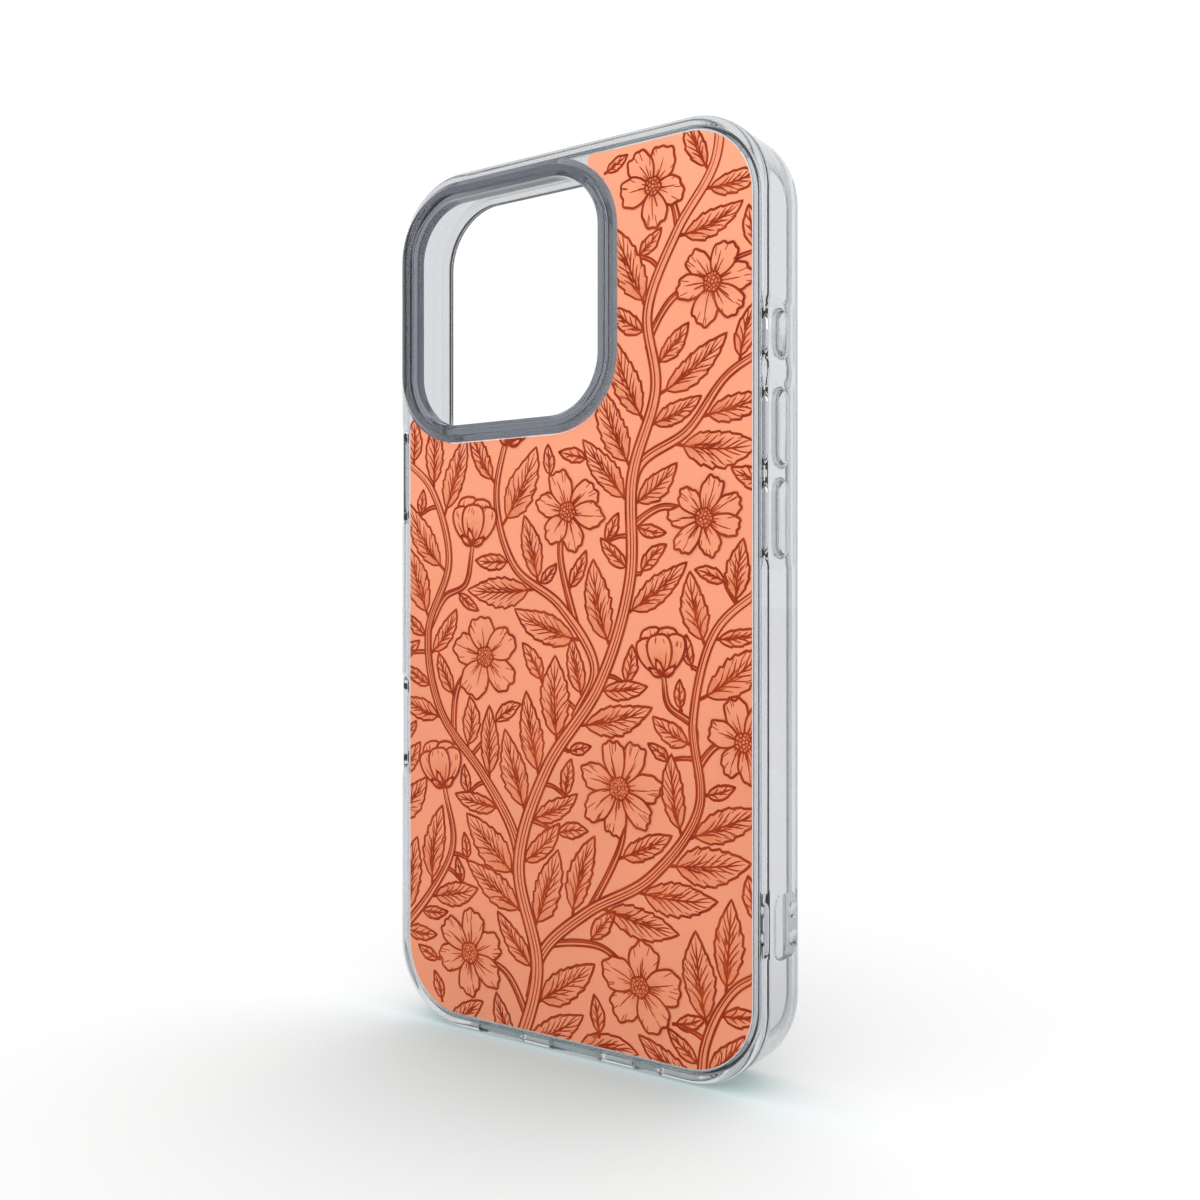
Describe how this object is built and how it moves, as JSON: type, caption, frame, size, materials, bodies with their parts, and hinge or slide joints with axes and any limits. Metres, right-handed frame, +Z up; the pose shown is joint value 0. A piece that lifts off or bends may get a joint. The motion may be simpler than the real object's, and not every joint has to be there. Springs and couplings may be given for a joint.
{
  "type": "phone case",
  "caption": "Clear hybrid case for a large handset: printed hard back, flexible clear bumper, raised guard round a square camera window, sprung side keys, strap holes and port cut-outs.",
  "frame": {"origin": "middle of the case's box, on the base that it stands on", "axes": "+Z up along the case's height, +X across its width to the side with the volume keys, +Y through it to the open screen side; the printed back faces -Y"},
  "size_m": [0.076, 0.0142, 0.1541],
  "materials": {
    "clear_plate": "clear, polished",
    "white_ink": "matte white ink",
    "colour_ink": "satin floral print in peach and rust",
    "guard_plastic": "smoky clear, polished",
    "clear_bumper": "clear, glossy flexible plastic",
    "clear_key": "clear, glossy"
  },
  "bodies": {
    "case": {"back_plate": "clear_plate", "print_underbase": "white_ink", "print_colour_layer": "colour_ink", "lens_guard": "guard_plastic", "bumper": "clear_bumper"},
    "action_key": {"action_button_pad": "clear_key"},
    "volume_up_key": {"volume_up_pad": "clear_key"},
    "volume_down_key": {"volume_down_pad": "clear_key"},
    "power_key": {"power_button_pad": "clear_key"}
  },
  "joints": [
    {"name": "action_press", "type": "slide", "parent": "case", "child": "action_key", "axis": [-1, 0, 0], "range_m": [0, 0.00035], "stiffness_N_per_m": 1200},
    {"name": "volume_up_press", "type": "slide", "parent": "case", "child": "volume_up_key", "axis": [-1, 0, 0], "range_m": [0, 0.00035], "stiffness_N_per_m": 1200},
    {"name": "volume_down_press", "type": "slide", "parent": "case", "child": "volume_down_key", "axis": [-1, 0, 0], "range_m": [0, 0.00035], "stiffness_N_per_m": 1200},
    {"name": "power_press", "type": "slide", "parent": "case", "child": "power_key", "axis": [1, 0, 0], "range_m": [0, 0.00035], "stiffness_N_per_m": 1200}
  ]
}
